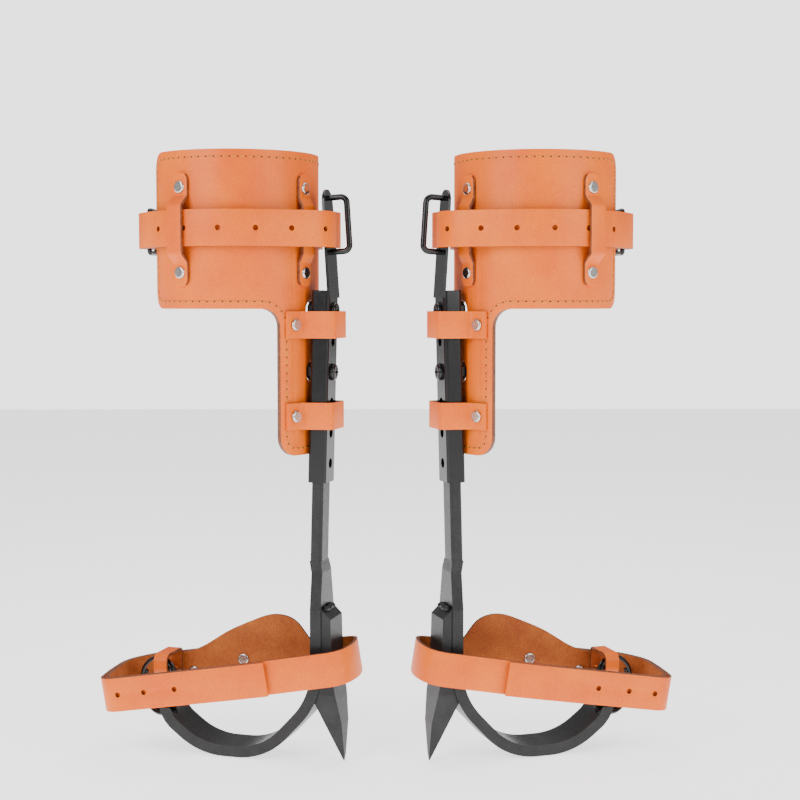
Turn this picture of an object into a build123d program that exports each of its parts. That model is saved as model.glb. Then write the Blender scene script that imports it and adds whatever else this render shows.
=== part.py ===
from build123d import *
import math
import os

# A mirrored pair of tree climbing spurs, in mm, +Z up, standing on their stirrups and gaff tips.
# Each spur is drawn as the one for the wearer's right leg: +X is medial, -Y is the toe side.
# It is then turned to its place beside the plane X = 0, and mirrored for the left leg.

# The pair
spur_offset = 54.0          # shank axis to the plane of symmetry
toe_out = 16.6              # how far each spur turns away from the other, degrees
pair_shift = -27.135        # along Y, so that the pair's box is centred over the origin

# Shank and stirrup
bar_thick = 10.0
bar_wide = 20.0
bar_lean = 1.5              # the upper bar leans medially, degrees
lean_z = 165.0              # where the straight, leaning bar begins
bar_top_z = 358.0
foot_thick = 9.4
foot_front = -16.0          # toe side edge of the widened bar
foot_back = 18.0
slot_wide = 8.6
slot_low_z = 309.0
slot_high_z = 353.0
eye_hole = 10.0
eye_z = 31.0

# Sleeve
sleeve_deep = 15.5          # along X
sleeve_wide = 25.0          # along Y
sleeve_wall = 2.2
sleeve_low_z = 233.0
sleeve_tube_top_z = 390.0
plate_bend_z = 392.0
plate_bend = 5.3            # the plate bends back laterally, degrees
plate_top_z = 472.0
hole_pitch = 25.0
hole_count = 6
first_hole_z = 248.5
web_hole = 8.2
screw_dia = 8.0
screw_rows = (3, 5)         # which holes hold the clamp screws
head_dia = 14.0
head_high = 3.5
nut_flats = 13.0
nut_high = 5.0
nut_room = 18.0             # hole in the cuff's tail round each nut

# Staple
staple_wire = 5.0
staple_low_z = 421.0
staple_high_z = 465.0
staple_reach = 15.5         # from the plate's face to the axis of the upright

# Calf cuff
cuff_r = 67.8               # outer surface
cuff_x = -75.4
cuff_y = 7.0
leather = 2.7
lining = 2.2
cuff_low_z = 375.0
cuff_high_z = 501.0
cuff_start = -53.5          # angle from the toe side, positive towards medial, degrees
cuff_end = 128.0
tail_start = 52.0
tail_low_z = 256.0
edge_round = 15.0
seam_gap = 0.05

# Cuff bridges
bridge_wide = 15.0
ear_round = 6.0
bridge_low_z = 393.0
bridge_high_z = 483.0
rivet_low_z = 404.0
rivet_high_z = 471.5
lateral_angle = -18.0
medial_angle = 73.0
rivet_dia = 4.0
rivet_cap = 10.0
rivet_cap_high = 1.8
rivet_hole = 4.2
lateral_lift = 7.4          # room under the bridge for the belt
medial_lift = 3.9

# Sleeve keepers
keeper_mids = (288.0, 362.0)
keeper_high = 22.0
keeper_ear_front = 63.0     # angles of the rivets
keeper_ear_back = 114.0

# Straps
belt = 2.8                  # thickness of both straps
belt_high = 29.0
belt_low_z = 424.5
belt_r = cuff_r + 0.3 + belt / 2
buckle_angle = -74.0
tail_plate_x = 12.3         # where the belt's tail lies over the plate
tail_plate_y = 17.0
foot_strap_high = 28.0
foot_strap_z = 67.7         # lower edge over the shank axis
foot_rise = 8.5             # rises to the medial side, degrees
foot_pitch = 2.3            # rises to the heel, degrees
foot_far_y = 26.0
foot_buckle_x = -52.0
foot_tip_x = -32.0
punch = 4.4
belt_hole_count = 6
belt_hole_pitch = 29.2
belt_tip_reach = 31.0       # from the tail's tip to its first hole
foot_holes = (-160.0, -137.0, -110.0)

# Buckles
buckle_wire = 4.0
buckle_long = 24.0          # between the axes of its two bars
buckle_high = 35.4          # between the axes of its side wires
roller_dia = 6.0
roller_high = 27.0
prong_wide = 3.0
prong_thick = 2.4
prong_eye = 6.8
fold_r = buckle_wire / 2 + 0.3 + belt / 2
over_fold = fold_r + belt + 0.4
layer = belt + 0.5          # from one strap layer's middle to the next
bar_fit = 0.05              # running clearance of the rollers and prongs
calf_tilt = -3.8            # the buckles lie a little off the strap's line, degrees
foot_tilt = 2.4

# Heel pad and ring tab
pad_y = 19.8
tab_x = -139.5
tab_wide = 12.0
tab_front_y = -14.0
tab_low_z = 65.4
tab_high_z = 81.0

# Ring
ring_r = 24.0
ring_wire = 3.6
ring_axial = 7.2
ring_turn = 29.0            # its plane, from the frontal plane, degrees
ring_low = 28.0             # where the eye sits round the ring, from its lowest point, degrees


def bare(shape):
    """One solid out of whatever an operation returned."""
    if isinstance(shape, (list, tuple)):
        solids = [solid for piece in shape for solid in piece.solids()]
    else:
        solids = shape.solids()
    if len(solids) > 1:
        print("solids:", [round(solid.volume, 2) for solid in solids])
    return sorted(solids, key=lambda solid: solid.volume)[-1]


def cut(shape, tool):
    return bare(shape - tool)


def ray(angle, radius, x=cuff_x, y=cuff_y):
    """The point at an angle and a radius round the calf."""
    turn = math.radians(angle)
    return (x + radius * math.sin(turn), y - radius * math.cos(turn))


def around(start, end, r_start, r_end, steps):
    """Corners of a path that wraps round the calf, from one angle to another."""
    half = (end - start) / steps / 2
    points = [ray(start, r_start)]
    for i in range(steps):
        share = (2 * i + 1) / (2 * steps)
        radius = r_start + (r_end - r_start) * share
        points.append(ray(start + (end - start) * share, radius / math.cos(math.radians(half))))
    points.append(ray(end, r_end))
    return points


def shifted(points, side):
    """The same path, moved sideways to its left by a distance, with mitred corners."""
    normals = []
    for a, b in zip(points, points[1:]):
        length = math.dist(a, b)
        normals.append((-(b[1] - a[1]) / length, (b[0] - a[0]) / length))
    moved = []
    for i, p in enumerate(points):
        before = normals[max(i - 1, 0)]
        after = normals[min(i, len(normals) - 1)]
        scale = side / (1 + before[0] * after[0] + before[1] * after[1])
        moved.append((p[0] + (before[0] + after[0]) * scale, p[1] + (before[1] + after[1]) * scale))
    return moved


def rounding(points, radii, side):
    """Corner radii of the moved path: a left turn tightens on its left."""
    result = []
    for i, radius in enumerate(radii):
        a, b, c = points[i], points[i + 1], points[i + 2]
        turn = (b[0] - a[0]) * (c[1] - b[1]) - (b[1] - a[1]) * (c[0] - b[0])
        result.append(radius - side if turn > 0 else radius + side)
    return result


def ribbon_face(points, radii, thick):
    """A strap seen on edge: a path with rounded corners, given a thickness."""
    sides = []
    for side in (thick / 2, -thick / 2):
        line = shifted(points, side)
        sides.append(FilletPolyline(*line, radius=rounding(points, radii, side)))
    left, right = sides
    start = Line(left @ 0, right @ 0)
    end = Line(left @ 1, right @ 1)
    return make_face(Curve() + [left, right, start, end])


def ribbon(points, radii, thick, low, high):
    return Pos(0, 0, low) * extrude(ribbon_face(points, radii, thick), high - low, dir=(0, 0, 1))


def plate_plane(angle, radius=0.0, z=0.0):
    """A plane whose X is outwards from the calf, whose Y is up, at an angle round it."""
    turn = math.radians(angle)
    out = Vector(math.sin(turn), -math.cos(turn), 0)
    x, y = ray(angle, radius)
    return Plane(origin=(x, y, z), x_dir=out, z_dir=out.cross(Vector(0, 0, 1)))


def radial_plane(angle, radius, z):
    """A plane square to the calf's surface, whose Z is outwards."""
    turn = math.radians(angle)
    out = Vector(math.sin(turn), -math.cos(turn), 0)
    x, y = ray(angle, radius)
    return Plane(origin=(x, y, z), x_dir=Vector(0, 0, 1).cross(out), z_dir=out)


def drill(plane, dia, depth):
    """A cutter centred on a plane's origin, along its Z."""
    return plane.location * Cylinder(dia / 2, depth)


def rivet(plane, grip, washer_high=1.0):
    """A capped rivet whose cap sits on the plane, and whose washer is below the grip."""
    shaft = Pos(0, 0, -grip / 2) * Cylinder(rivet_dia / 2, grip)
    cap = Pos(0, 0, rivet_cap_high / 2) * Cylinder(rivet_cap / 2, rivet_cap_high)
    cap = fillet(cap.edges().sort_by(Axis.Z)[-1], rivet_cap_high * 0.8)
    if washer_high == 0:
        return plane.location * (shaft + cap)
    washer = Pos(0, 0, -grip - washer_high / 2) * Cylinder(rivet_cap / 2 - 0.5, washer_high)
    return plane.location * (shaft + cap + washer)


def leaned(shape):
    """Turns a shape drawn upright about the foot of the leaning bar."""
    pivot = Pos(0, 0, sleeve_low_z)
    return pivot * Rot(0, bar_lean, 0) * pivot.inverse() * shape


def toe_tapered(front_low, back_low, front_high, back_high, low, high, reach=60.0):
    """A slab between two heights whose toe and heel edges slope in straight lines."""
    outline = Polyline((front_low, low), (back_low, low), (back_high, high), (front_high, high), close=True)
    face = Plane.YZ * make_face(outline)
    return Pos(-reach, 0, 0) * extrude(face, 2 * reach, dir=(1, 0, 0))


def stirrup_path():
    """The outer side of the bar and stirrup, from the bar down and round under the boot."""
    outer = [(foot_thick / 2, lean_z), (foot_thick / 2, 52), (-44, 0), (-104, 0), (-139, 27), (-142, 49)]
    return shifted(outer, -foot_thick / 2)


def ring_frame():
    """Centre of the ring, the eye's place, and the ring's own axes."""
    turn = math.radians(ring_turn)
    low = math.radians(ring_low)
    level = Vector(math.cos(turn), -math.sin(turn), 0)
    up = Vector(0, 0, 1)
    eye = Vector(-136.4, -6.0, eye_z)
    centre = eye - (level * math.sin(low) - up * math.cos(low)) * ring_r
    tangent = level * math.cos(low) + up * math.sin(low)
    return centre, eye, level, tangent


def make_shank():
    bar = Pos(0, 0, (lean_z + bar_top_z) / 2)
    upper = bar * Box(bar_thick, bar_wide, bar_top_z - lean_z)
    upper = fillet(upper.edges().filter_by(Axis.Z), 2.5)
    slot_mid = (slot_low_z + slot_high_z) / 2
    slot = Plane.YZ * SlotOverall(slot_high_z - slot_low_z, slot_wide, rotation=90)
    slot = Pos(-bar_thick, 0, slot_mid) * extrude(slot, 2 * bar_thick, dir=(1, 0, 0))
    upper = leaned(upper - slot)

    lean_x = (lean_z - sleeve_low_z) * math.tan(math.radians(bar_lean))
    path = stirrup_path()
    face = ribbon_face(path, [60, 55, 60, 26], foot_thick)
    under = Plane.XZ * face
    wide = foot_back - foot_front
    under = Pos(0, foot_front, 0) * extrude(under, wide, dir=(0, 1, 0))
    flare_z = 128.0
    keep = toe_tapered(foot_front, foot_back, foot_front, foot_back, -5, flare_z, 200)
    keep += toe_tapered(foot_front, foot_back, -bar_wide / 2, bar_wide / 2, flare_z, lean_z + 1, 200)
    end_cut = Pos(-142, 0, 49) * Box(30, 60, 24)
    end_keep = Pos(-142, -2, 49) * Box(30, 20, 24)
    under = (under & keep) - (end_cut - end_keep)

    blend_low = lean_z - 6
    top_of_under = Pos(0, 0, lean_z) * Box(80, 80, 12)
    under = under - top_of_under
    joint = loft([Plane((0, 0, blend_low)) * Rectangle(foot_thick, bar_wide + 3.5),
                  Plane((lean_x, 0, lean_z + 3)) * Rectangle(bar_thick, bar_wide)])
    upper = upper - Pos(0, 0, lean_z - 2) * Box(80, 80, 10)
    shank = under + joint + upper
    centre, eye, level, tangent = ring_frame()
    shank -= drill(Plane(origin=eye, z_dir=tangent), eye_hole, 40)
    return shank


def make_gaff(shank):
    side = Polyline((foot_thick / 2 - 3, 124), (foot_thick / 2, 129), (12.7, 121), (14, 72), (17.4, 54),
                    (20.3, 33), (20.3, 6), (19.6, 0), (18.6, 2), (-4, 55), close=True)
    block = extrude(Plane.XZ * make_face(side), 60, dir=(0, 1, 0))
    block = Pos(0, -30, 0) * block
    front = Polyline((-15, 135), (15.5, 135), (15.5, 58), (0.8, 0), (-0.8, 0), (-15, 58), close=True)
    width = Pos(-40, 0, 0) * extrude(Plane.YZ * make_face(front), 90, dir=(1, 0, 0))
    gaff = block & width
    solids = (gaff - shank).solids()
    return solids.sort_by(SortBy.VOLUME)[-1]


def sleeve_z(row):
    return first_hole_z + hole_pitch * row


def make_sleeve():
    tube_high = sleeve_tube_top_z - sleeve_low_z
    outer = Box(sleeve_deep, sleeve_wide, tube_high)
    outer = fillet(outer.edges().filter_by(Axis.Z), 3.0)
    inner = Box(sleeve_deep - 2 * sleeve_wall, sleeve_wide - 2 * sleeve_wall, tube_high + 2)
    inner = fillet(inner.edges().filter_by(Axis.Z), 0.8)
    tube = Pos(0, 0, sleeve_low_z + tube_high / 2) * (outer - inner)
    face_x = sleeve_deep / 2
    for row in range(hole_count):
        through = Pos(face_x, 0, sleeve_z(row)) * Rot(0, 90, 0) * Cylinder(web_hole / 2, 4 * sleeve_wall)
        tube -= through
        if row in screw_rows:
            behind = Pos(-face_x, 0, sleeve_z(row)) * Rot(0, 90, 0)
            tube -= behind * Cylinder(web_hole / 2, 4 * sleeve_wall)
    plate_long = plate_top_z - plate_bend_z
    round_z = plate_long - 11.0
    half = sleeve_wide / 2
    flat = Polyline((-half, -8), (half, -8), (half, 38), (11, round_z), (-11, round_z), (-half, 38),
                    close=True)
    face = make_face(flat) + Pos(0, round_z) * Circle(11)
    plate = extrude(Plane.YZ * face, sleeve_wall, dir=(1, 0, 0))
    for z in (staple_low_z, staple_high_z):
        hole = Pos(0, 0, z - plate_bend_z) * Rot(0, 90, 0) * Cylinder(staple_wire / 2, 20)
        plate -= hole
    plate = Pos(face_x - sleeve_wall, 0, plate_bend_z) * Rot(0, -plate_bend, 0) * plate
    return leaned(tube + plate)


def plate_point(z, out):
    """A point on the bent plate, at a height and a distance out from its outer face."""
    up = z - plate_bend_z
    bend = math.radians(plate_bend)
    reach = sleeve_wall + out
    x = sleeve_deep / 2 - sleeve_wall + reach * math.cos(bend) - up * math.sin(bend)
    return (x, plate_bend_z + up * math.cos(bend) + reach * math.sin(bend))


def make_staple():
    inner = -sleeve_wall - 1.5
    points = [plate_point(staple_low_z, inner), plate_point(staple_low_z, staple_reach),
              plate_point(staple_high_z, staple_reach), plate_point(staple_high_z, inner)]
    path = Plane.XZ * FilletPolyline(*points, radius=5.0)
    start = Plane(origin=path @ 0, z_dir=path % 0)
    staple = sweep(start * Circle(staple_wire / 2), path=path)
    for z in (staple_low_z, staple_high_z):
        x, height = plate_point(z, inner + 0.7)
        head = Plane(origin=(x, 0, height), z_dir=path % 0)
        staple += head.location * Cylinder(staple_wire / 2 + 1.2, 1.5)
    return leaned(staple)


def make_screws():
    screws = []
    for row in screw_rows:
        face = Plane(origin=(sleeve_deep / 2, 0, sleeve_z(row)), z_dir=(1, 0, 0))
        shaft_long = sleeve_deep + nut_high
        shaft = Pos(0, 0, -shaft_long / 2) * Cylinder(screw_dia / 2, shaft_long)
        head = Pos(0, 0, head_high / 2) * Cylinder(head_dia / 2, head_high)
        head = fillet(head.edges().sort_by(Axis.Z)[-1], 2.2)
        for turn in (0, 90):
            head -= Pos(0, 0, head_high) * Rot(0, 0, turn) * Box(6.5, 1.5, 3.0)
        screws.append(leaned(face.location * (shaft + head)))
    return screws


def make_nuts():
    nuts = []
    for row in screw_rows:
        face = Plane(origin=(-sleeve_deep / 2, 0, sleeve_z(row)), z_dir=(-1, 0, 0))
        nut = extrude(RegularPolygon(nut_flats / 2, 6, major_radius=False), nut_high)
        nut -= Pos(0, 0, nut_high / 2) * Cylinder(screw_dia / 2, 2 * nut_high)
        nuts.append(leaned(face.location * nut))
    return nuts


def cuff_sheet(outer_r, thick):
    """One layer of the cuff: the band round the calf and the long tail beside the sleeve."""
    def sector(start, end, low, high):
        points = [ray(start, outer_r + 40), ray((start + end) / 2, outer_r + 200), ray(end, outer_r + 40)]
        wedge = make_face(Polyline((cuff_x, cuff_y), *points, close=True))
        ring = Pos(cuff_x, cuff_y) * (Circle(outer_r) - Circle(outer_r - thick))
        return Pos(0, 0, low) * extrude(ring & wedge, high - low, dir=(0, 0, 1))

    middle = (cuff_start + cuff_end) / 2
    sheet = sector(cuff_start, middle, cuff_low_z, cuff_high_z)
    sheet += sector(middle, cuff_end, cuff_low_z, cuff_high_z)
    sheet += sector(tail_start, cuff_end, tail_low_z, cuff_low_z + 1)
    corners = []
    for edge in sheet.edges():
        spot = edge.center()
        reach = math.hypot(spot.X - cuff_x, spot.Y - cuff_y)
        if abs(edge.length - thick) < 0.01 and outer_r - thick < reach < outer_r:
            corners.append(edge)
    return fillet(corners, edge_round)


def drilled_for_rivets(sheet):
    """The sheet with room for the clamp nuts, and its rivet holes."""
    cutters = []
    for row in screw_rows:
        lean = (sleeve_z(row) - sleeve_low_z) * math.tan(math.radians(bar_lean))
        x = lean - sleeve_deep / 2 - nut_high / 2
        cutters.append(Pos(x, 0, sleeve_z(row)) * Rot(0, 90, 0) * Cylinder(nut_room / 2, 24))
    for angle in (lateral_angle, medial_angle):
        for z in (rivet_low_z, rivet_high_z):
            cutters.append(drill(radial_plane(angle, cuff_r, z), rivet_hole, 20))
    for z, angle in sleeve_rivet_places():
        cutters.append(drill(radial_plane(angle, cuff_r, z), rivet_hole, 20))
    for cutter in cutters:
        sheet = sheet - cutter
    return bare(sheet)


def bridge(angle, lift):
    """A leather bridge for the calf belt: two ears on the cuff and a raised middle."""
    foot = cuff_r + seam_gap + leather / 2
    crest = foot + lift
    points = [(foot, bridge_low_z), (foot, bridge_low_z + 19), (crest, bridge_low_z + 26),
              (crest, bridge_high_z - 26), (foot, bridge_high_z - 19), (foot, bridge_high_z)]
    flat = ribbon_face(points, [4, 4, 4, 4], leather)
    band = extrude(flat, bridge_wide / 2, both=True)
    ends = []
    for edge in band.edges():
        at_end = min(abs(edge.center().Y - bridge_low_z), abs(edge.center().Y - bridge_high_z)) < 0.01
        if at_end and abs(edge.length - leather) < 0.01:
            ends.append(edge)
    band = plate_plane(angle).location * fillet(ends, ear_round)
    for z in (rivet_low_z, rivet_high_z):
        band -= drill(radial_plane(angle, cuff_r, z), rivet_hole, 14)
    return band


def bridge_rivets():
    grip = leather + seam_gap + leather + 0.2 + lining + 0.3
    rivets = []
    for angle in (lateral_angle, medial_angle):
        for z in (rivet_low_z, rivet_high_z):
            rivets.append(rivet(radial_plane(angle, cuff_r + seam_gap + leather, z), grip))
    return rivets


def sleeve_rivet_places():
    places = []
    for z in keeper_mids:
        places.append((z, keeper_ear_front))
        places.append((z, keeper_ear_back))
    return places


def sleeve_keeper(mid_z):
    """A leather loop round the sleeve, riveted to the cuff's tail at both ends."""
    lean = (mid_z - sleeve_low_z) * math.tan(math.radians(bar_lean))
    out_x = sleeve_deep / 2 + lean + head_high + 0.5 + leather / 2
    side_y = sleeve_wide / 2 + 1.2 + leather / 2
    ear = cuff_r + seam_gap + leather / 2
    front_end = ray(keeper_ear_front - 7, ear + 0.7)
    front_bend = ray(keeper_ear_front + 6, ear + 0.7)
    back_bend = ray(keeper_ear_back - 8, ear + 0.8)
    back_end = ray(keeper_ear_back + 7, ear + 0.8)
    points = [front_end, front_bend, (out_x - 12, -side_y - 0.6), (out_x, -side_y), (out_x, side_y),
              (out_x - 9, side_y + 1.5), back_bend, back_end]
    band = ribbon(points, [5, 5, 4, 4, 4, 5], leather, mid_z - keeper_high / 2, mid_z + keeper_high / 2)
    for angle in (keeper_ear_front, keeper_ear_back):
        band -= drill(radial_plane(angle, cuff_r, mid_z), rivet_hole, 14)
    return band


def sleeve_keeper_rivets():
    grip = leather + 0.9 + leather + 0.2 + lining + 0.3
    rivets = []
    for z, angle in sleeve_rivet_places():
        rivets.append(rivet(radial_plane(angle, cuff_r + 0.9 + leather, z), grip))
    return rivets


def easy_radii(points, share=0.45):
    """The largest even rounding that each corner of a path has room for."""
    radii = []
    for a, b, c in zip(points, points[1:], points[2:]):
        one = Vector(*b) - Vector(*a)
        two = Vector(*c) - Vector(*b)
        turn = math.radians(one.get_angle(two))
        radii.append(share * min(one.length, two.length) / math.tan(turn / 2))
    return radii


def turning(points):
    """The path without its corners that hardly turn."""
    kept = [points[0]]
    for b, c in zip(points[1:], points[2:]):
        one = Vector(*b) - Vector(*kept[-1])
        two = Vector(*c) - Vector(*b)
        if one.get_angle(two) > 0.5:
            kept.append(b)
    return kept + [points[-1]]


def strap(points, low, high):
    points = turning(points)
    return ribbon(points, easy_radii(points), belt, low, high)


def buckle_frame(tilt):
    """A wire frame round the origin's bar: its X runs to the roller, its Z is outwards."""
    outline = Pos(buckle_long / 2, 0) * RectangleRounded(buckle_long, buckle_high, 2.6)
    path = outline.wires()[0]
    start = Plane(origin=path @ 0, z_dir=path % 0)
    return Rot(0, -tilt, 0) * sweep(start * Circle(buckle_wire / 2), path=path)


def buckle_roller(tilt):
    tube = Cylinder(roller_dia / 2, roller_high) - Cylinder(buckle_wire / 2 + bar_fit, roller_high)
    return Rot(0, -tilt, 0) * Pos(buckle_long, 0, 0) * Rot(90, 0, 0) * tube


def buckle_prong(tilt):
    """A flat pin that turns on the near bar and rests on the roller."""
    eye = Cylinder(prong_eye / 2, prong_wide)
    rest = roller_dia / 2 + prong_thick / 2 + 0.1
    points = [(0.5, prong_eye / 2 - 0.6), (7, rest + 0.6), (buckle_long + 4.5, rest)]
    tongue = Plane.XZ * ribbon_face(points, easy_radii(points), prong_thick)
    tongue = Pos(0, -prong_wide / 2, 0) * extrude(tongue, prong_wide, dir=(0, 1, 0))
    prong = Rot(90, 0, 0) * eye + tongue
    prong -= Rot(90, 0, 0) * Cylinder(buckle_wire / 2 + bar_fit, 3 * prong_wide)
    return Rot(0, -tilt, 0) * prong


def fold_points(drop):
    """The folded end of a strap round a buckle bar: along the strap away from the roller, and out."""
    flap = belt + 0.2 - fold_r
    return [(23, flap - drop), (12, flap + 0.4 - drop / 4), (2, fold_r), (-fold_r, fold_r),
            (-fold_r, -fold_r), (8, -fold_r)]


def over_points(drop):
    """The tail's way from under the roller, over the fold and its flap."""
    return [(-buckle_long - 8, -fold_r - 1.3 * drop), (-buckle_long + 8, -fold_r - 0.5 * drop),
            (-6, over_fold), (7, over_fold), (24, layer - fold_r + belt + 1.4 - drop)]


def calf_point(along, out):
    """A point by the calf buckle: along the strap to the toe side, and outwards."""
    turn = math.radians(buckle_angle)
    x, y = ray(buckle_angle, belt_r + fold_r)
    return (x + along * math.cos(turn) + out * math.sin(turn),
            y + along * math.sin(turn) - out * math.cos(turn))


def foot_point(along, out):
    """A point by the foot buckle: along the strap to the lateral side, and outwards."""
    return (foot_buckle_x - along, foot_far_y + fold_r + out)


def buckle_plane(spot, mid_z):
    """The buckle's frame of reference in the strap: X to the roller, Y up, Z outwards."""
    near = Vector(*spot(0, 0))
    roller_way = (Vector(*spot(-1, 0)) - near).normalized()
    out = (Vector(*spot(0, 1)) - near).normalized()
    return Plane(origin=(near.X, near.Y, mid_z), x_dir=roller_way, z_dir=out)


def calf_buckle_plane():
    return buckle_plane(calf_point, belt_low_z + belt_high / 2)


def foot_buckle_plane():
    return buckle_plane(foot_point, foot_strap_high / 2)


def prong_slot(plane):
    """Room in the strap for the prong: through the fold, and through the tail above it."""
    wide = prong_wide + 1.2
    fold = Pos(0.9, 0, 1.3) * Box(9.8, wide, 9.8)
    tail = Pos(8.5, 0, over_fold - 2) * Box(20, wide, 16)
    return plane.location * (fold + tail)


def make_calf_belt():
    start = [calf_point(*p) for p in fold_points(2.8)]
    front = around(-62.0, 90.0, belt_r, belt_r, 5)
    back = around(90.0, 262.0, belt_r, belt_r + 1.5, 6)
    over = [calf_point(*p) for p in over_points(4.0)]
    tail = around(-50.0, 41.0, belt_r + layer, belt_r + layer, 4)
    tip = [(tail_plate_x + 0.6, -tail_plate_y - 4.5), (tail_plate_x, 12.0)]
    points = start + front[1:-1] + back[1:-1] + over + tail[1:-1] + tip
    shape = strap(points, belt_low_z, belt_low_z + belt_high)
    mid_z = belt_low_z + belt_high / 2
    shape = cut(shape, prong_slot(calf_buckle_plane()))
    path = FilletPolyline(*turning(points), radius=easy_radii(turning(points)))
    for i in range(belt_hole_count):
        spot = 1 - (belt_tip_reach + i * belt_hole_pitch) / path.length
        centre = path @ spot
        along = path % spot
        plane = Plane(origin=(centre.X, centre.Y, mid_z), z_dir=(along.Y, -along.X, 0))
        shape = cut(shape, drill(plane, punch, belt + 1.2))
    return shape


def foot_place(shape):
    """Puts a piece drawn level on the foot strap's own slope."""
    return Pos(0, 0, foot_strap_z) * Rot(foot_pitch, -foot_rise, 0) * shape


def make_foot_strap():
    start = [foot_point(*p) for p in fold_points(0)]
    loop = [(-120, foot_far_y), (-160, foot_far_y - 1), (-179, 12), (-177, -25), (-172, -50.0), (-60, -41.5),
            (27.5, -26.0), (33.0, 0), (27.5, foot_far_y - 1.0), (10, foot_far_y)]
    over = [foot_point(*p) for p in over_points(0)]
    outer = [(-122, foot_far_y + layer), (-161, foot_far_y + layer - 1), (-179 - layer, 13),
             (-177 - layer, -25), (-172 - layer, -50.0 - layer), (-60, -41.5 - layer),
             (foot_tip_x, -38.2 - layer)]
    points = start + loop + over + outer
    shape = strap(points, 0, foot_strap_high)
    shape = cut(shape, prong_slot(foot_buckle_plane()))
    for x in foot_holes:
        y = -50.0 - layer + (x + 172 + layer) * 8.5 / 112
        shape = cut(shape, Pos(x, y, foot_strap_high / 2) * Rot(90, 0, 0) * Cylinder(punch / 2, 4.0))
    shape = foot_place(shape)
    for plane in pad_rivet_planes():
        reach = foot_far_y + belt / 2 - plane.origin.Y + 0.2
        shape = cut(shape, plane.location * Pos(0, 0, -reach / 2) * Cylinder(rivet_hole / 2, reach))
    return shape


def make_ring():
    centre, eye, level, tangent = ring_frame()
    section = RectangleRounded(ring_wire, ring_axial, ring_wire / 2 - 0.05)
    band = revolve(Plane.XZ * Pos(ring_r, 0) * section, Axis.Z)
    plane = Plane(origin=centre, x_dir=level, z_dir=level.cross(Vector(0, 0, 1)))
    return plane.location * band


def pad_outline():
    """The heel pad from behind: a leaf with a blunt lateral end and a high shoulder."""
    crest = Spline((-148, 68), (-121, 81), (-94, 97), (-69, 109), (-48, 115.5), (-30, 111), (-12, 92),
                   (4, 80), tangents=[(0.6, 0.8), (0.3, -1)])
    base = Spline((4, 80), (-30, 66), (-80, 50), (-128, 47), (-148, 54), tangents=[(-0.4, -1), (-0.4, 0.9)])
    return make_face(Curve() + [crest, base, Line((-148, 54), (-148, 68))])


def pad_rivet_planes():
    planes = []
    for x, z in ((-77.0, 75.0), (-123.0, 61.0)):
        planes.append(Plane(origin=(x, pad_y - leather / 2, z), z_dir=(0, -1, 0)))
    return planes


def tab_rivet_plane():
    return Plane(origin=(tab_x, pad_y - leather / 2 - 2 * leather - 0.6, 56.5), z_dir=(0, -1, 0))


def make_heel_pad():
    face = Plane.XZ * pad_outline()
    pad = Pos(0, pad_y - leather / 2, 0) * extrude(face, leather, dir=(0, 1, 0))
    for plane in pad_rivet_planes() + [tab_rivet_plane()]:
        pad = cut(pad, drill(plane, rivet_hole, 40))
    return pad


def make_ring_tab():
    near_y = pad_y - leather - 0.3
    inner_y = near_y - leather - 0.3
    points = [(near_y, 50.5), (near_y, tab_high_z), (tab_front_y, tab_high_z), (tab_front_y, tab_low_z),
              (inner_y, tab_low_z), (inner_y, 50.5)]
    flat = ribbon_face(points, [3.2, 5.5, 5.5, 3.2], leather)
    tab = extrude(Plane.YZ * flat, tab_wide, dir=(1, 0, 0))
    tab = Pos(tab_x - tab_wide / 2, 0, 0) * tab
    return cut(tab, drill(tab_rivet_plane(), rivet_hole, 40))


def pad_rivets():
    grip = foot_far_y + belt / 2 - (pad_y - leather / 2)
    rivets = [rivet(plane, grip, 0) for plane in pad_rivet_planes()]
    rivets.append(rivet(tab_rivet_plane(), 3 * leather + 0.6))
    return rivets


def build():
    parts = {}
    shank = bare(make_shank())
    parts["shank"] = [shank]
    parts["gaff"] = [make_gaff(shank)]
    parts["sleeve"] = [make_sleeve()]
    parts["strap_staple"] = [make_staple()]
    parts["sleeve_screws"] = make_screws()
    parts["sleeve_nuts"] = make_nuts()
    parts["cuff_outer"] = [drilled_for_rivets(cuff_sheet(cuff_r, leather))]
    parts["cuff_lining"] = [drilled_for_rivets(cuff_sheet(cuff_r - leather - 0.2, lining))]
    parts["lateral_keeper"] = [bridge(lateral_angle, lateral_lift)]
    parts["medial_keeper"] = [bridge(medial_angle, medial_lift)]
    parts["keeper_rivets"] = bridge_rivets()
    parts["lower_sleeve_keeper"] = [sleeve_keeper(keeper_mids[0])]
    parts["upper_sleeve_keeper"] = [sleeve_keeper(keeper_mids[1])]
    parts["sleeve_keeper_rivets"] = sleeve_keeper_rivets()
    calf = calf_buckle_plane().location
    parts["calf_belt"] = [make_calf_belt()]
    parts["calf_buckle_frame"] = [calf * buckle_frame(calf_tilt)]
    parts["calf_buckle_roller"] = [calf * buckle_roller(calf_tilt)]
    parts["calf_buckle_prong"] = [calf * buckle_prong(calf_tilt)]
    foot = foot_buckle_plane().location
    parts["foot_strap"] = [make_foot_strap()]
    parts["foot_buckle_frame"] = [foot_place(foot * buckle_frame(foot_tilt))]
    parts["foot_buckle_roller"] = [foot_place(foot * buckle_roller(foot_tilt))]
    parts["foot_buckle_prong"] = [foot_place(foot * buckle_prong(foot_tilt))]
    parts["heel_pad"] = [make_heel_pad()]
    parts["ring_tab"] = [make_ring_tab()]
    parts["pad_rivets"] = pad_rivets()
    parts["stirrup_ring"] = [make_ring()]
    return parts


def place(shape):
    return Pos(-spur_offset, pair_shift, 0) * Rot(0, 0, -toe_out) * shape


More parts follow.
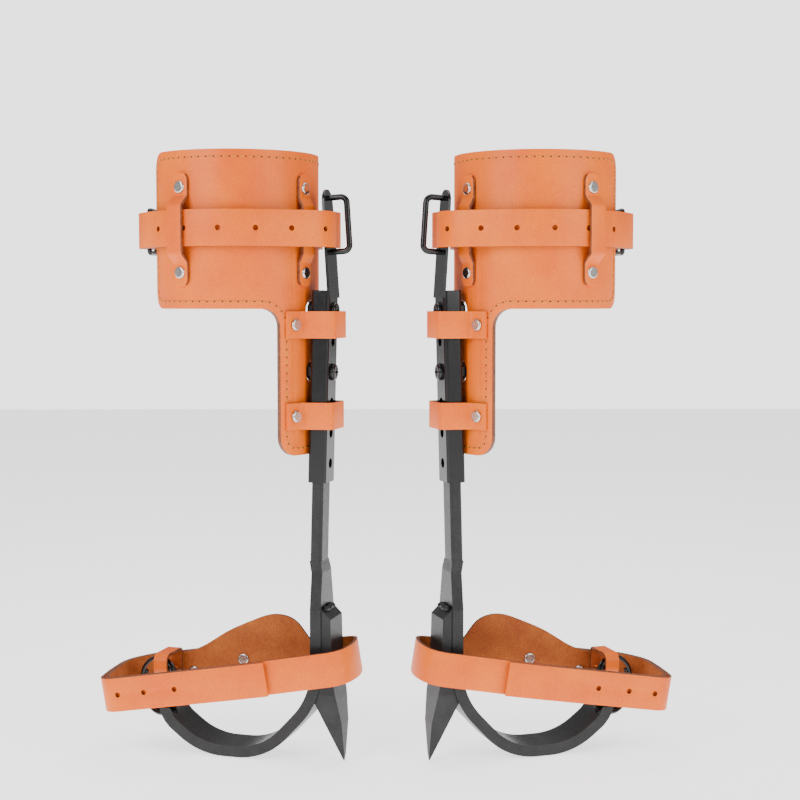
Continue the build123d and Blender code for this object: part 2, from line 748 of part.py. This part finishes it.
os.makedirs("parts", exist_ok=True)
for name, solids in build().items():
    placed = [bare(place(solid)) for solid in solids]
    mirrored = [bare(mirror(solid, about=Plane.YZ)) for solid in placed]
    for side, shapes in (("right", placed), ("left", mirrored)):
        whole = Compound(children=shapes) if len(shapes) > 1 else shapes[0]
        export_step(whole, f"parts/{side}_{name}.step")
    print(name, [round(solid.volume) for solid in placed], [solid.is_valid for solid in placed])
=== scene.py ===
import math
import random

import bmesh
import bpy
from mathutils import Matrix, Vector


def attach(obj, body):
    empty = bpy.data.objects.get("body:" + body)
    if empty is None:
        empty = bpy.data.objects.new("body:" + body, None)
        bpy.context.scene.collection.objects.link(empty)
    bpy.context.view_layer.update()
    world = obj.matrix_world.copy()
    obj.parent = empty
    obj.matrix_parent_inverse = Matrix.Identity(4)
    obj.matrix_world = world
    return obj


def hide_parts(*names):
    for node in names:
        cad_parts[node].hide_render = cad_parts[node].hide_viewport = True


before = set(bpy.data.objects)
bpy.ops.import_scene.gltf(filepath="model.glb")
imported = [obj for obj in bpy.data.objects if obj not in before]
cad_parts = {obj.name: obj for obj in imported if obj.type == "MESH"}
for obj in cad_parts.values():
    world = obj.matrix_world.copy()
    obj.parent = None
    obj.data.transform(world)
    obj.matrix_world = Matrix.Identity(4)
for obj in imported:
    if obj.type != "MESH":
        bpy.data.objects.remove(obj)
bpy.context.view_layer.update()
bpy.ops.object.select_all(action="DESELECT")
random.seed(7)
mm = 0.001
sides = ("right", "left")

# where each spur stands, in mm and degrees: drawn for the right leg, +x medial, -y to the toes
spur = {"offset": 54.0, "shift": -27.135, "toeOut": 16.6, "calfX": -75.4, "calfY": 7.0, "cuffR": 67.8}


def spurMatrix(side):
    flip = Matrix.Scale(-1, 4, (1, 0, 0)) if side == "left" else Matrix.Identity(4)
    stand = Matrix.Translation((-spur["offset"], spur["shift"], 0))
    turn = Matrix.Rotation(math.radians(-spur["toeOut"]), 4, "Z")
    return Matrix.Scale(mm, 4) @ flip @ stand @ turn


def aroundCalf(angle, radius, z):
    turn = math.radians(angle)
    return Vector((spur["calfX"] + radius * math.sin(turn), spur["calfY"] - radius * math.cos(turn), z))


# materials: everything reads Object coordinates, in metres

def addNode(tree, kind, **values):
    node = tree.nodes.new(kind)
    for key, value in values.items():
        setattr(node, key, value)
    return node


def addNoise(tree, place, scale, detail=4.0, roughness=0.55):
    node = addNode(tree, "ShaderNodeTexNoise")
    node.inputs["Scale"].default_value = scale
    node.inputs["Detail"].default_value = detail
    node.inputs["Roughness"].default_value = roughness
    tree.links.new(place, node.inputs["Vector"])
    return node.outputs["Fac"]


def addRamp(tree, source, stops):
    node = addNode(tree, "ShaderNodeValToRGB")
    ramp = node.color_ramp
    while len(ramp.elements) < len(stops):
        ramp.elements.new(0.5)
    for element, (place, colour) in zip(ramp.elements, stops):
        element.position = place
        element.color = (*colour, 1)
    tree.links.new(source, node.inputs["Fac"])
    return node.outputs["Color"]


def addBlend(tree, mode, amount, first, second):
    node = addNode(tree, "ShaderNodeMix", data_type="RGBA", blend_type=mode)
    node.inputs[0].default_value = amount
    tree.links.new(first, node.inputs[6])
    tree.links.new(second, node.inputs[7])
    return node.outputs[2]


def addBump(tree, height, strength, distance, before=None):
    node = addNode(tree, "ShaderNodeBump")
    node.inputs["Strength"].default_value = strength
    node.inputs["Distance"].default_value = distance
    tree.links.new(height, node.inputs["Height"])
    if before:
        tree.links.new(before, node.inputs["Normal"])
    return node.outputs["Normal"]


def makeFinish(name, look):
    material = bpy.data.materials.new(name)
    material.use_nodes = True
    tree = material.node_tree
    shader = tree.nodes["Principled BSDF"]
    place = addNode(tree, "ShaderNodeTexCoord").outputs["Object"]
    blotches = addNoise(tree, place, look["blotchScale"])
    speckles = addNoise(tree, place, look["speckleScale"], 6.0, 0.65)
    colour = addRamp(tree, blotches, [(0.3, look["dark"]), (0.7, look["light"])])
    shade = look["speckleShade"]
    marks = addRamp(tree, speckles, [(0.35, (shade, shade, shade)), (0.6, (1, 1, 1))])
    tree.links.new(addBlend(tree, "MULTIPLY", 1.0, colour, marks), shader.inputs["Base Color"])
    spread = addNode(tree, "ShaderNodeMapRange")
    spread.inputs["To Min"].default_value = look["glossy"]
    spread.inputs["To Max"].default_value = look["dull"]
    tree.links.new(speckles, spread.inputs["Value"])
    tree.links.new(spread.outputs["Result"], shader.inputs["Roughness"])
    normal = addBump(tree, speckles, look["roughStrength"], look["roughDepth"] * mm)
    if "poreScale" in look:  # the pebbled cells of a leather's grain
        pores = addNode(tree, "ShaderNodeTexVoronoi", feature="SMOOTH_F1")
        pores.inputs["Scale"].default_value = look["poreScale"]
        tree.links.new(place, pores.inputs["Vector"])
        depth = look["poreDepth"] * mm
        normal = addBump(tree, pores.outputs["Distance"], look["poreStrength"], depth, normal)
    tree.links.new(normal, shader.inputs["Normal"])
    shader.inputs["Metallic"].default_value = look.get("metal", 0.0)
    shader.inputs["Coat Weight"].default_value = look.get("coat", 0.0)
    shader.inputs["Coat Roughness"].default_value = 0.12
    shader.inputs["Specular IOR Level"].default_value = look.get("specular", 0.5)
    return material


finishes = {
    "orangeGrain": {"dark": (0.84, 0.115, 0.0), "light": (0.96, 0.185, 0.0), "blotchScale": 22.0,
                    "speckleScale": 900.0, "speckleShade": 0.82, "glossy": 0.36, "dull": 0.56,
                    "roughStrength": 0.25, "roughDepth": 0.12, "poreScale": 1100.0, "poreStrength": 0.35,
                    "poreDepth": 0.15, "specular": 0.28},
    "fleshSide": {"dark": (0.36, 0.065, 0.003), "light": (0.52, 0.125, 0.01), "blotchScale": 45.0,
                  "speckleScale": 700.0, "speckleShade": 0.6, "glossy": 0.65, "dull": 0.95,
                  "roughStrength": 0.6, "roughDepth": 0.3},
    "burnishedEdge": {"dark": (0.09, 0.022, 0.006), "light": (0.3, 0.085, 0.022), "blotchScale": 300.0,
                      "speckleScale": 1500.0, "speckleShade": 0.55, "glossy": 0.35, "dull": 0.7,
                      "roughStrength": 0.5, "roughDepth": 0.2},
    "glossBlackPaint": {"dark": (0.0025, 0.0025, 0.003), "light": (0.006, 0.006, 0.007), "blotchScale": 60.0,
                        "speckleScale": 260.0, "speckleShade": 0.8, "glossy": 0.14, "dull": 0.3,
                        "roughStrength": 0.15, "roughDepth": 0.2, "coat": 0.12, "specular": 0.35},
    "forgedBlack": {"dark": (0.003, 0.003, 0.0035), "light": (0.012, 0.012, 0.014), "blotchScale": 90.0,
                    "speckleScale": 420.0, "speckleShade": 0.6, "glossy": 0.22, "dull": 0.5,
                    "roughStrength": 0.7, "roughDepth": 0.6, "coat": 0.08, "specular": 0.35},
    "gaffSteel": {"dark": (0.006, 0.006, 0.007), "light": (0.02, 0.02, 0.022), "blotchScale": 80.0,
                  "speckleScale": 600.0, "speckleShade": 0.65, "glossy": 0.34, "dull": 0.55,
                  "roughStrength": 0.35, "roughDepth": 0.25, "specular": 0.35},
    "rivetNickel": {"dark": (0.55, 0.54, 0.51), "light": (0.8, 0.79, 0.76), "blotchScale": 240.0,
                    "speckleScale": 900.0, "speckleShade": 0.75, "glossy": 0.12, "dull": 0.32,
                    "roughStrength": 0.12, "roughDepth": 0.08, "metal": 1.0},
    "waxedThread": {"dark": (0.62, 0.2, 0.01), "light": (0.85, 0.36, 0.03), "blotchScale": 400.0,
                    "speckleScale": 2600.0, "speckleShade": 0.5, "glossy": 0.45, "dull": 0.75,
                    "roughStrength": 0.6, "roughDepth": 0.15},
    # stitch holes: dark dots of painted shade where the thread sinks into the leather
    "needleHoleShade": {"dark": (0.05, 0.012, 0.003), "light": (0.12, 0.03, 0.008), "blotchScale": 500.0,
                   "speckleScale": 1500.0, "speckleShade": 0.6, "glossy": 0.7, "dull": 0.95,
                   "roughStrength": 0.3, "roughDepth": 0.1},
}
materials = {name: makeFinish(name, look) for name, look in finishes.items()}
print("materials made:", len(materials))


# CAD pieces that keep their shape

metalFinish = {
    "shank": "forgedBlack",
    "gaff": "gaffSteel",
    "sleeve": "glossBlackPaint",
    "strap_staple": "glossBlackPaint",
    "sleeve_screws": "glossBlackPaint",
    "sleeve_nuts": "glossBlackPaint",
    "keeper_rivets": "rivetNickel",
    "sleeve_keeper_rivets": "rivetNickel",
    "pad_rivets": "rivetNickel",
    "calf_buckle_frame": "glossBlackPaint",
    "calf_buckle_roller": "glossBlackPaint",
    "calf_buckle_prong": "glossBlackPaint",
    "foot_buckle_frame": "glossBlackPaint",
    "foot_buckle_roller": "glossBlackPaint",
    "foot_buckle_prong": "glossBlackPaint",
}
for side in sides:
    for node, finish in metalFinish.items():
        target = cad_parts[f"{side}_{node}"]
        for slot in target.material_slots:
            slot.material = materials[finish]
print("metal painted")


# leather: each piece is cut from its solid, with eased edges and three finishes

# rimSlope is how far a face may lean from a piece's broad side before it counts as its cut edge
cutting = {"mergeDistance": 0.002, "flatAngle": 0.6, "rimSlope": 0.6, "easeSegments": 3, "easeAngle": 38.0}


def finishPiece(piece, name, body, replaced=()):
    piece.name = name
    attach(piece, body)
    if replaced:
        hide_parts(*replaced)


def activate(piece):
    bpy.ops.object.select_all(action="DESELECT")
    piece.select_set(True)
    bpy.context.view_layer.objects.active = piece


def easeEdges(piece, width):
    angle = math.radians(cutting["easeAngle"])
    activate(piece)
    bevel = piece.modifiers.new("eased", "BEVEL")
    bevel.width = width * mm
    bevel.segments = cutting["easeSegments"]
    bevel.limit_method = "ANGLE"
    bevel.angle_limit = angle
    bevel.use_clamp_overlap = True
    bpy.ops.object.modifier_apply(modifier=bevel.name)
    bpy.ops.object.shade_smooth_by_angle(angle=angle)


# which way a leather piece's broad faces look, at a point in the spur's own frame
def radialWay(point):
    return Vector((point.x - spur["calfX"], point.y - spur["calfY"], 0)).normalized()


def tangentWay(point):
    out = radialWay(point)
    return Vector((-out.y, out.x, 0))


footSlope = {"rise": 8.5, "pitch": 2.3}
footUp = (Matrix.Rotation(math.radians(footSlope["pitch"]), 4, "X")
          @ Matrix.Rotation(math.radians(-footSlope["rise"]), 4, "Y")) @ Vector((0, 0, 1))
bootX = -73.0


def upWay(point):
    return Vector((0, 0, 1))


def backWay(point):
    return Vector((0, 1, 0))


def acrossWay(point):
    return Vector((1, 0, 0))


def footUpWay(point):
    return footUp


leatherPieces = {
    "cuff_outer": {"body": "cuff", "ease": 0.5, "broad": radialWay, "inner": "fleshSide"},
    "cuff_lining": {"body": "cuff", "ease": 0.4, "broad": radialWay, "inner": "orangeGrain"},
    "calf_belt": {"body": "cuff", "ease": 0.5, "rim": upWay, "inner": "fleshSide"},
    "lateral_keeper": {"body": "cuff", "ease": 0.45, "rim": tangentWay, "inner": "fleshSide"},
    "medial_keeper": {"body": "cuff", "ease": 0.45, "rim": tangentWay, "inner": "fleshSide"},
    "upper_sleeve_keeper": {"body": "cuff", "ease": 0.45, "rim": upWay, "inner": "fleshSide"},
    "lower_sleeve_keeper": {"body": "cuff", "ease": 0.45, "rim": upWay, "inner": "fleshSide"},
    "foot_strap": {"body": "iron", "ease": 0.5, "rim": footUpWay, "inner": "fleshSide",
                   "centre": (bootX, -8.0)},
    "heel_pad": {"body": "iron", "ease": 0.5, "broad": backWay, "inner": "fleshSide"},
    "ring_tab": {"body": "iron", "ease": 0.35, "rim": acrossWay, "inner": "fleshSide",
                 "centre": (-139.5, 5.0)},
}


def outwardWay(point, piece):
    if "broad" in piece:
        return piece["broad"](point)
    if "centre" in piece:
        return Vector((point.x - piece["centre"][0], point.y - piece["centre"][1], 0)).normalized()
    return radialWay(point)


def cutLeather(side, node, piece):
    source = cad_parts[f"{side}_{node}"]
    made = bpy.data.objects.new(f"{side}_{node}_leather", source.data.copy())
    bpy.context.collection.objects.link(made)
    made.data.materials.clear()
    for finish in ("orangeGrain", piece["inner"], "burnishedEdge"):
        made.data.materials.append(materials[finish])
    work = bmesh.new()
    work.from_mesh(made.data)
    bmesh.ops.remove_doubles(work, verts=work.verts, dist=cutting["mergeDistance"] * mm)
    bmesh.ops.dissolve_limit(work, angle_limit=math.radians(cutting["flatAngle"]), verts=work.verts,
                             edges=work.edges)
    work.to_mesh(made.data)
    work.free()
    back = spurMatrix(side).inverted()
    turnBack = back.to_3x3()
    for face in made.data.polygons:
        point = back @ face.center
        normal = (turnBack @ face.normal).normalized()
        if "rim" in piece:
            onRim = abs(normal.dot(piece["rim"](point))) > cutting["rimSlope"]
        else:
            onRim = abs(normal.dot(piece["broad"](point))) < cutting["rimSlope"]
        inward = normal.dot(outwardWay(point, piece)) < 0
        face.material_index = 2 if onRim else (1 if inward else 0)
    easeEdges(made, piece["ease"])
    finishPiece(made, f"{side}_{node}_leather", f"{side}_{piece['body']}", [f"{side}_{node}"])
    return made


for side in sides:
    for node, piece in leatherPieces.items():
        cutLeather(side, node, piece)
print("leather cut")


# stitching round the cuff's edge

stitching = {"inset": 6.0, "pitch": 6.4, "length": 4.9, "thick": 0.85, "hole": 0.75, "corner": 9.0,
             "innerCorner": 21.0, "cornerSteps": 10, "start": -53.5, "end": 128.0, "tail": 52.0,
             "low": 375.0, "high": 501.0, "tailLow": 256.0, "dip": 0.55, "taper": 0.35,
             "threadLift": 0.25, "holeLift": 0.02, "holeFlat": 0.2}


def roundedLoop(corners, radii, step):
    points = []
    count = len(corners)
    for i in range(count):
        before, here, after = corners[i - 1], corners[i], corners[(i + 1) % count]
        one = (before - here).normalized()
        two = (after - here).normalized()
        half = one.angle(two) / 2
        reach = radii[i] / math.tan(half)
        centre = here + (one + two).normalized() * radii[i] / math.sin(half)
        first = here + one * reach - centre
        last = here + two * reach - centre
        for k in range(stitching["cornerSteps"] + 1):
            spoke = first.slerp(last, k / stitching["cornerSteps"])
            points.append(centre + spoke.normalized() * radii[i])
    points.append(points[0])
    lengths = [0.0]
    for a, b in zip(points, points[1:]):
        lengths.append(lengths[-1] + (b - a).length)
    count = round(lengths[-1] / step)
    evened = []
    k = 0
    for i in range(count):
        target = lengths[-1] * i / count
        while lengths[k + 1] < target:
            k += 1
        share = (target - lengths[k]) / (lengths[k + 1] - lengths[k])
        evened.append(points[k].lerp(points[k + 1], share))
    return evened


def joinCopies(model, matrices, name):
    # one modelled piece, copied to each place with its own mesh, and joined
    copies = []
    for matrix in matrices:
        copy = bpy.data.objects.new(name, model.data.copy())
        bpy.context.collection.objects.link(copy)
        copy.data.transform(matrix)
        if matrix.determinant() < 0:
            copy.data.flip_normals()
        copies.append(copy)
    activate(copies[0])
    for copy in copies:
        copy.select_set(True)
    bpy.ops.object.join()
    joined = bpy.context.view_layer.objects.active
    bpy.data.objects.remove(model)
    joined.name = name
    return joined


def modelStitch():
    bpy.ops.mesh.primitive_cylinder_add(vertices=8, radius=stitching["thick"] / 2,
                                        depth=stitching["length"], rotation=(0, math.radians(90), 0))
    stitch = bpy.context.object
    bpy.ops.object.transform_apply(location=True, rotation=True, scale=True)
    bpy.ops.object.mode_set(mode="EDIT")
    bpy.ops.mesh.select_all(action="SELECT")
    bpy.ops.mesh.subdivide(number_cuts=2)
    bpy.ops.object.mode_set(mode="OBJECT")
    half = stitching["length"] / 2
    for vertex in stitch.data.vertices:  # the ends dip into the leather
        share = abs(vertex.co.x) / half
        vertex.co.z -= stitching["dip"] * share ** 4
        vertex.co.y *= 1 - stitching["taper"] * share ** 4
    stitch.data.materials.append(materials["waxedThread"])
    bpy.ops.object.shade_smooth()
    return stitch


# a flat dark dot laid on each stitch hole: painted shade, not a cut hole
def modelHoleShade():
    bpy.ops.mesh.primitive_uv_sphere_add(segments=10, ring_count=6, radius=stitching["hole"])
    hole = bpy.context.object
    bpy.ops.object.mode_set(mode="EDIT")
    bpy.ops.mesh.select_all(action="SELECT")
    bpy.ops.transform.resize(value=(1, 1, stitching["holeFlat"]))
    bpy.ops.object.mode_set(mode="OBJECT")
    hole.data.materials.append(materials["needleHoleShade"])
    bpy.ops.object.shade_smooth()
    return hole


def stitchPlaces():
    radius = spur["cuffR"]
    inset = stitching["inset"]
    left = math.radians(stitching["start"]) * radius + inset
    right = math.radians(stitching["end"]) * radius - inset
    tail = math.radians(stitching["tail"]) * radius + inset
    top = stitching["high"] - inset
    low = stitching["low"] + inset
    bottom = stitching["tailLow"] + inset
    places = ((left, top), (right, top), (right, bottom), (tail, bottom), (tail, low), (left, low))
    corners = [Vector(place) for place in places]
    corner = stitching["corner"]
    radii = [corner, corner, corner, corner, stitching["innerCorner"], corner]
    return roundedLoop(corners, radii, stitching["pitch"])


def cuffMatrix(side, flat, ahead, lift):
    # a place on the cuff's outer face, whose x runs along the seam and z looks out
    radius = spur["cuffR"]
    angle = math.degrees(flat.x / radius)
    where = aroundCalf(angle, radius + lift, flat.y)
    there = aroundCalf(math.degrees(ahead.x / radius), radius + lift, ahead.y)
    out = radialWay(where)
    along = (there - where).normalized()
    across = out.cross(along).normalized()
    along = across.cross(out)
    turn = Matrix((along, across, out)).transposed().to_4x4()
    return spurMatrix(side) @ Matrix.Translation(where) @ turn


for side in sides:
    flat = stitchPlaces()
    pairs = list(zip(flat, flat[1:] + flat[:1]))
    threads = [cuffMatrix(side, a.lerp(b, 0.5), b, stitching["threadLift"]) for a, b in pairs]
    holes = [cuffMatrix(side, a, b, stitching["holeLift"]) for a, b in pairs]
    seam = joinCopies(modelStitch(), threads, f"{side}_cuff_stitching")
    finishPiece(seam, f"{side}_cuff_stitching", f"{side}_cuff")
    # the dark dots are painted shade at the stitch holes
    dots = joinCopies(modelHoleShade(), holes, f"{side}_cuff_needle_hole_shade")
    finishPiece(dots, f"{side}_cuff_needle_hole_shade", f"{side}_cuff")
print("cuff stitched")


# the ring: a wire of two turns with blunt ends

ring = {"radius": 24.0, "wire": 3.4, "eye": (-136.4, -6.0, 31.0), "turned": 29.0, "eyeAngle": 28.0,
        "halfGap": 1.85, "crossing": 0.5, "endGap": 0.55, "endAngle": 2.2, "samples": 120,
        "smoothAngle": 50}


def ringPoints():
    turned = math.radians(ring["turned"])
    low = math.radians(ring["eyeAngle"])
    level = Vector((math.cos(turned), -math.sin(turned), 0))
    up = Vector((0, 0, 1))
    centre = Vector(ring["eye"]) - (level * math.sin(low) - up * math.cos(low)) * ring["radius"]
    normal = level.cross(up)
    start, end = ring["endGap"], 4 * math.pi - ring["endGap"]
    points = []
    for i in range(ring["samples"] + 1):
        a = start + (end - start) * i / ring["samples"]
        step = min(max((a - 2 * math.pi) / ring["crossing"] / 2 + 0.5, 0), 1)
        side = (step * step * (3 - 2 * step) * 2 - 1) * ring["halfGap"]
        turn = a + ring["endAngle"]
        spoke = level * math.cos(turn) + up * math.sin(turn)
        points.append(centre + spoke * ring["radius"] + normal * side)
    return points


def modelRing(side):
    curve = bpy.data.curves.new("ringWire", "CURVE")
    curve.dimensions = "3D"
    curve.bevel_depth = ring["wire"] / 2 * mm
    curve.bevel_resolution = 4
    curve.use_fill_caps = True
    points = ringPoints()
    line = curve.splines.new("POLY")
    line.points.add(len(points) - 1)
    for spot, point in zip(line.points, points):
        spot.co = (*(spurMatrix(side) @ point), 1)
    wire = bpy.data.objects.new("ringWire", curve)
    bpy.context.collection.objects.link(wire)
    activate(wire)
    bpy.ops.object.convert(target="MESH")
    bpy.ops.object.shade_smooth_by_angle(angle=math.radians(ring["smoothAngle"]))
    wire.data.materials.append(materials["glossBlackPaint"])
    return wire


for side in sides:
    finishPiece(modelRing(side), f"{side}_split_ring", f"{side}_ring",
                [f"{side}_stirrup_ring"])
print("rings wound")


# the weld bead along the gaff's top

weld = {"radius": 2.6, "spacing": 1.9, "x": 6.2, "z": 128.4, "halfWide": 9.0, "voxel": 0.45,
        "sizeRange": (0.85, 1.15), "xJitter": (-0.4, 0.4), "zJitter": (-0.5, 0.4), "flatten": (1.25, 0.8)}


def modelWeld(side):
    count = int(2 * weld["halfWide"] / weld["spacing"]) + 1
    bpy.ops.mesh.primitive_uv_sphere_add(segments=20, ring_count=12, radius=weld["radius"])
    drop = bpy.context.object
    places = []
    for i in range(count):
        y = -weld["halfWide"] + i * weld["spacing"]
        size = random.uniform(*weld["sizeRange"])
        x = weld["x"] + random.uniform(*weld["xJitter"])
        z = weld["z"] + random.uniform(*weld["zJitter"])
        wide, long = weld["flatten"]
        swell = Matrix.Diagonal((wide * size, long * size, size, 1))
        places.append(spurMatrix(side) @ Matrix.Translation((x, y, z)) @ swell)
    bead = joinCopies(drop, places, f"{side}_gaff_weld")
    activate(bead)
    fuse = bead.modifiers.new("fuse", "REMESH")
    fuse.mode = "VOXEL"
    fuse.voxel_size = weld["voxel"] * mm
    bpy.ops.object.modifier_apply(modifier=fuse.name)
    bpy.ops.object.shade_smooth()
    bead.data.materials.clear()
    bead.data.materials.append(materials["forgedBlack"])
    return bead


for side in sides:
    finishPiece(modelWeld(side), f"{side}_gaff_weld", f"{side}_iron")
print("gaffs welded")


# floor, light and camera

studio = {"floorSize": 8.0, "floorColour": (0.93, 0.93, 0.93), "floorRoughness": 0.8, "floorGlow": 1.5,
          "worldLight": 0.42, "backdropLight": 2.6, "aim": (0, 0, 0.27), "cameraY": -1.257135,
          "cameraZ": 0.382, "lens": 67.5, "pitch": 3.81, "yaw": 0.516}
lamps = {
    "key": {"power": 20.0, "size": 0.9, "place": (-1.1, -1.1, 1.0)},
    "fill": {"power": 13.0, "size": 0.9, "place": (1.2, -1.0, 0.8)},
    "top": {"power": 15.0, "size": 1.2, "place": (0, 0.3, 1.6)},
}

bpy.ops.mesh.primitive_plane_add(size=studio["floorSize"], location=(0, 0, -0.0005))
floor = bpy.context.object
floor.name = "floor"
bpy.ops.object.transform_apply(location=True)
floorMaterial = bpy.data.materials.new("paleFloor")
floorMaterial.use_nodes = True
floorShader = floorMaterial.node_tree.nodes["Principled BSDF"]
floorShader.inputs["Base Color"].default_value = (*studio["floorColour"], 1)
floorShader.inputs["Roughness"].default_value = studio["floorRoughness"]
floorShader.inputs["Emission Color"].default_value = (1, 1, 1, 1)
floorShader.inputs["Emission Strength"].default_value = studio["floorGlow"]
floor.data.materials.append(floorMaterial)

world = bpy.data.worlds.new("studio")
bpy.context.scene.world = world
world.use_nodes = True
backdrop = world.node_tree.nodes["Background"]
backdrop.inputs["Color"].default_value = (1, 1, 1, 1)
seen = addNode(world.node_tree, "ShaderNodeLightPath").outputs["Is Camera Ray"]
# the backdrop looks brighter than the light it gives
level = addNode(world.node_tree, "ShaderNodeMapRange")
level.inputs["To Min"].default_value = studio["worldLight"]
level.inputs["To Max"].default_value = studio["backdropLight"]
world.node_tree.links.new(seen, level.inputs["Value"])
world.node_tree.links.new(level.outputs["Result"], backdrop.inputs["Strength"])


def addLight(name, lamp):
    light = bpy.data.lights.new(name, "AREA")
    light.energy = lamp["power"]
    light.size = lamp["size"]
    hung = bpy.data.objects.new(name, light)
    bpy.context.collection.objects.link(hung)
    hung.location = lamp["place"]
    beam = Vector(studio["aim"]) - Vector(lamp["place"])
    hung.rotation_euler = beam.to_track_quat("-Z", "Y").to_euler()


for name, lamp in lamps.items():
    addLight(name, lamp)

camera = bpy.data.cameras.new("camera")
camera.lens = studio["lens"]
camera.sensor_width = 36.0
eye = bpy.data.objects.new("camera", camera)
bpy.context.collection.objects.link(eye)
eye.location = (0, studio["cameraY"], studio["cameraZ"])
eye.rotation_euler = (math.radians(90 - studio["pitch"]), 0, math.radians(-studio["yaw"]))
bpy.context.scene.camera = eye
print("studio set")
